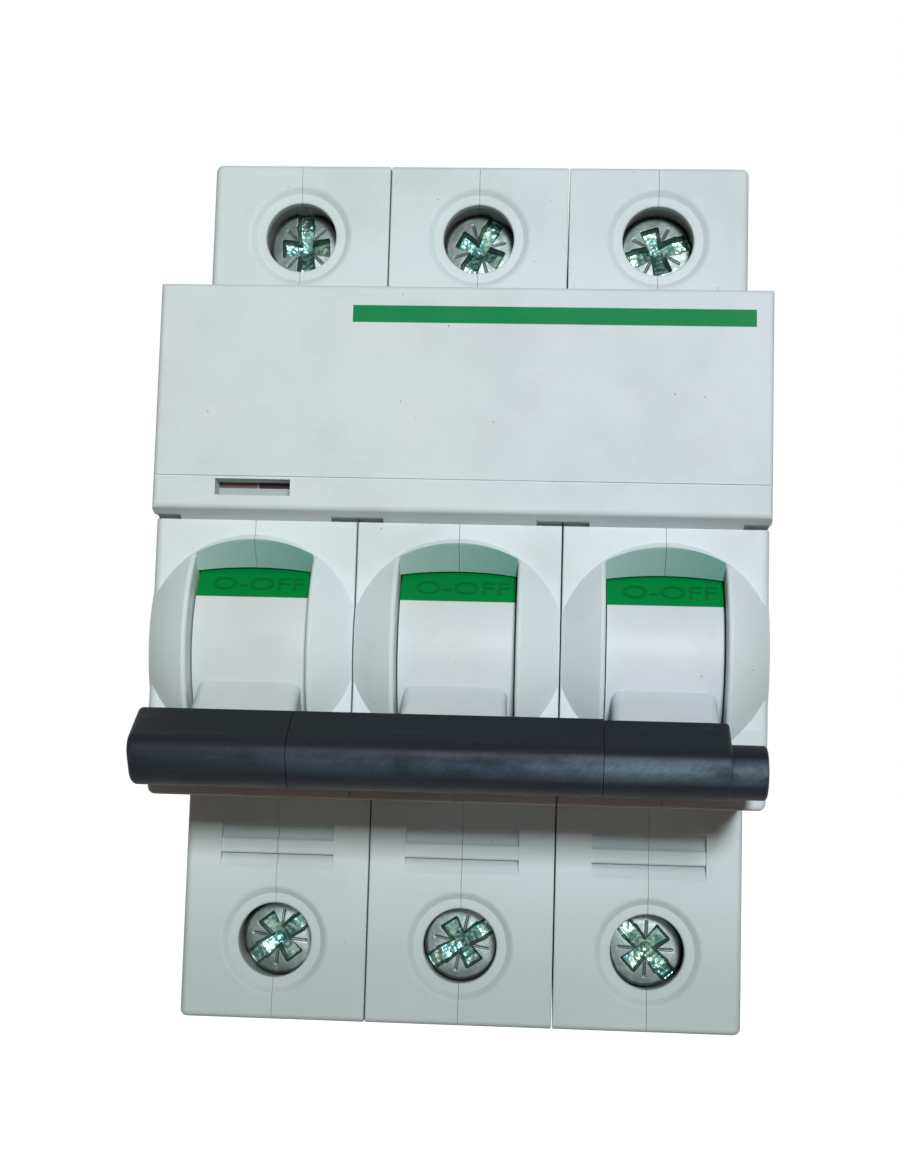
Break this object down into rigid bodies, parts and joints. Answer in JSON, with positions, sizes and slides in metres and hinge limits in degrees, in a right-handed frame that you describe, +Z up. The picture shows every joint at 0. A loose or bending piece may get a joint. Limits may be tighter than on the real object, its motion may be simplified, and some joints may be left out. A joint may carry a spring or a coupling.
{
  "type": "circuit breaker",
  "caption": "Rail-mounted miniature circuit breaker: half-shell poles side by side, front cover, rocker toggles tied by a handle bar, cage terminals and sliding rail clips.",
  "frame": {"origin": "on the rail seat plane, at the middle of the nose height and of the width", "axes": "+Y out of the rail seat to the rear, -Y to the front, +Z up (line terminals), +X to the right"},
  "size_m": [0.0538, 0.0781, 0.085],
  "materials": {
    "case_plastic": "fine moulded texture, light grey-white",
    "cover_plastic": "fine moulded texture, cool light grey",
    "toggle_plastic": "smooth moulded, light grey-white",
    "bar_plastic": "satin dark slate, scuffed",
    "band_plastic": "smooth moulded, green",
    "flag_plastic": "smooth moulded, red",
    "inner_plastic": "smooth moulded, black",
    "card": "vulcanised fibre",
    "zinc_steel": "zinc plated, passivated",
    "plain_steel": "rolled",
    "copper": "bright copper",
    "silver": "silver contact alloy",
    "enamelled_wire": "enamelled copper wire"
  },
  "bodies": {
    "case": {"arc_chute_cards": "card", "arc_chute_plates_1": "plain_steel", "arc_chute_plates_2": "plain_steel", "arc_chute_plates_3": "plain_steel", "arc_runners": "plain_steel", "bimetals": "plain_steel", "calibration_screws": "zinc_steel", "case_rivets": "zinc_steel", "coil_bobbins": "inner_plastic", "contact_arm_pins": "plain_steel", "contact_springs": "plain_steel", "fixed_contact_straps": "copper", "fixed_contact_tips": "silver", "flexible_braids": "copper", "front_cover": "cover_plastic", "line_straps": "copper", "load_straps": "copper", "magnet_yokes": "plain_steel", "pole_1_left_shell": "case_plastic", "pole_1_right_shell": "case_plastic", "pole_2_left_shell": "case_plastic", "pole_2_right_shell": "case_plastic", "pole_3_left_shell": "case_plastic", "pole_3_right_shell": "case_plastic", "toggle_springs": "plain_steel", "trip_coils": "enamelled_wire"},
    "contact_arms": {"contact_arms": "copper", "moving_contact_tips": "silver"},
    "toggle": {"handle_cap_left": "bar_plastic", "handle_cap_middle": "bar_plastic", "handle_cap_right": "bar_plastic", "handle_tie_rod": "plain_steel", "off_bands": "band_plastic", "toggle_1": "toggle_plastic", "toggle_2": "toggle_plastic", "toggle_3": "toggle_plastic"},
    "line_terminal_cage_1": {"line_terminal_cage_1": "zinc_steel"},
    "line_terminal_cage_2": {"line_terminal_cage_2": "zinc_steel"},
    "line_terminal_cage_3": {"line_terminal_cage_3": "zinc_steel"},
    "line_terminal_screw_1": {"line_terminal_screw_1": "zinc_steel"},
    "line_terminal_screw_2": {"line_terminal_screw_2": "zinc_steel"},
    "line_terminal_screw_3": {"line_terminal_screw_3": "zinc_steel"},
    "link_rods": {"link_rods": "plain_steel"},
    "load_terminal_cage_1": {"load_terminal_cage_1": "zinc_steel"},
    "load_terminal_cage_2": {"load_terminal_cage_2": "zinc_steel"},
    "load_terminal_cage_3": {"load_terminal_cage_3": "zinc_steel"},
    "load_terminal_screw_1": {"load_terminal_screw_1": "zinc_steel"},
    "load_terminal_screw_2": {"load_terminal_screw_2": "zinc_steel"},
    "load_terminal_screw_3": {"load_terminal_screw_3": "zinc_steel"},
    "rail_clip_1": {"rail_clip_1": "inner_plastic"},
    "rail_clip_2": {"rail_clip_2": "inner_plastic"},
    "rail_clip_3": {"rail_clip_3": "inner_plastic"},
    "trip_bar": {"trip_bar": "inner_plastic"},
    "trip_flag": {"trip_flag": "flag_plastic"},
    "trip_plunger_1": {"trip_plunger_1": "plain_steel"},
    "trip_plunger_2": {"trip_plunger_2": "plain_steel"},
    "trip_plunger_3": {"trip_plunger_3": "plain_steel"}
  },
  "joints": [
    {"name": "toggle_swing", "type": "hinge", "parent": "case", "child": "toggle", "pos_m": [0, -0.0554, -0.009], "axis": [-1, 0, 0], "range_deg": [0, 64], "deforming": ["toggle_springs"]},
    {"name": "link_swing", "type": "hinge", "parent": "toggle", "child": "link_rods", "pos_m": [0, -0.05253, -0.00699], "axis": [-1, 0, 0], "range_deg": [-65, 1]},
    {"name": "contact_swing", "type": "hinge", "parent": "case", "child": "contact_arms", "pos_m": [0, -0.034, 0], "axis": [1, 0, 0], "range_deg": [-0.5, 18.26], "deforming": ["contact_springs", "flexible_braids"]},
    {"name": "trip_bar_turn", "type": "hinge", "parent": "case", "child": "trip_bar", "pos_m": [0, -0.0406, 0.0062], "axis": [-1, 0, 0], "range_deg": [0, 12], "stiffness_Nm_per_rad": 0.01, "springref_deg": -5.73},
    {"name": "trip_flag_slide", "type": "slide", "parent": "case", "child": "trip_flag", "axis": [0, 0, -1], "range_m": [0, 0.0015]},
    {"name": "trip_plunger_1_slide", "type": "slide", "parent": "case", "child": "trip_plunger_1", "axis": [0, 0, -1], "range_m": [0, 0.0012], "stiffness_N_per_m": 60, "springref_m": -0.001},
    {"name": "rail_clip_1_slide", "type": "slide", "parent": "case", "child": "rail_clip_1", "axis": [0, 0, -1], "range_m": [0, 0.003], "stiffness_N_per_m": 400, "springref_m": -0.001},
    {"name": "trip_plunger_2_slide", "type": "slide", "parent": "case", "child": "trip_plunger_2", "axis": [0, 0, -1], "range_m": [0, 0.0012], "stiffness_N_per_m": 60, "springref_m": -0.001},
    {"name": "rail_clip_2_slide", "type": "slide", "parent": "case", "child": "rail_clip_2", "axis": [0, 0, -1], "range_m": [0, 0.003], "stiffness_N_per_m": 400, "springref_m": -0.001},
    {"name": "trip_plunger_3_slide", "type": "slide", "parent": "case", "child": "trip_plunger_3", "axis": [0, 0, -1], "range_m": [0, 0.0012], "stiffness_N_per_m": 60, "springref_m": -0.001},
    {"name": "rail_clip_3_slide", "type": "slide", "parent": "case", "child": "rail_clip_3", "axis": [0, 0, -1], "range_m": [0, 0.003], "stiffness_N_per_m": 400, "springref_m": -0.001},
    {"name": "line_screw_1_turn", "type": "hinge", "parent": "case", "child": "line_terminal_screw_1", "pos_m": [-0.018, -0.0385, 0.0336], "axis": [0, 1, 0], "range_deg": [-0.5, 2880.5]},
    {"name": "line_cage_1_slide", "type": "slide", "parent": "case", "child": "line_terminal_cage_1", "axis": [0, -1, 0], "range_m": [0, 0.0064]},
    {"name": "line_screw_2_turn", "type": "hinge", "parent": "case", "child": "line_terminal_screw_2", "pos_m": [0, -0.0385, 0.0336], "axis": [0, 1, 0], "range_deg": [-0.5, 2880.5]},
    {"name": "line_cage_2_slide", "type": "slide", "parent": "case", "child": "line_terminal_cage_2", "axis": [0, -1, 0], "range_m": [0, 0.0064]},
    {"name": "line_screw_3_turn", "type": "hinge", "parent": "case", "child": "line_terminal_screw_3", "pos_m": [0.018, -0.0385, 0.0336], "axis": [0, 1, 0], "range_deg": [-0.5, 2880.5]},
    {"name": "line_cage_3_slide", "type": "slide", "parent": "case", "child": "line_terminal_cage_3", "axis": [0, -1, 0], "range_m": [0, 0.0064]},
    {"name": "load_screw_1_turn", "type": "hinge", "parent": "case", "child": "load_terminal_screw_1", "pos_m": [-0.018, -0.0385, -0.0365], "axis": [0, 1, 0], "range_deg": [-0.5, 2880.5]},
    {"name": "load_cage_1_slide", "type": "slide", "parent": "case", "child": "load_terminal_cage_1", "axis": [0, -1, 0], "range_m": [0, 0.0064]},
    {"name": "load_screw_2_turn", "type": "hinge", "parent": "case", "child": "load_terminal_screw_2", "pos_m": [0, -0.0385, -0.0365], "axis": [0, 1, 0], "range_deg": [-0.5, 2880.5]},
    {"name": "load_cage_2_slide", "type": "slide", "parent": "case", "child": "load_terminal_cage_2", "axis": [0, -1, 0], "range_m": [0, 0.0064]},
    {"name": "load_screw_3_turn", "type": "hinge", "parent": "case", "child": "load_terminal_screw_3", "pos_m": [0.018, -0.0385, -0.0365], "axis": [0, 1, 0], "range_deg": [-0.5, 2880.5]},
    {"name": "load_cage_3_slide", "type": "slide", "parent": "case", "child": "load_terminal_cage_3", "axis": [0, -1, 0], "range_m": [0, 0.0064]}
  ],
  "couplings": [
    {"joint": "link_swing", "follows": "toggle_swing", "ratio": -1},
    {"joint": "contact_swing", "follows": "toggle_swing", "ratio": 0.27747},
    {"joint": "line_screw_1_turn", "follows": "line_cage_1_slide", "rad_per_m": 7854},
    {"joint": "line_screw_2_turn", "follows": "line_cage_2_slide", "rad_per_m": 7854},
    {"joint": "line_screw_3_turn", "follows": "line_cage_3_slide", "rad_per_m": 7854},
    {"joint": "load_screw_1_turn", "follows": "load_cage_1_slide", "rad_per_m": 7854},
    {"joint": "load_screw_2_turn", "follows": "load_cage_2_slide", "rad_per_m": 7854},
    {"joint": "load_screw_3_turn", "follows": "load_cage_3_slide", "rad_per_m": 7854}
  ]
}
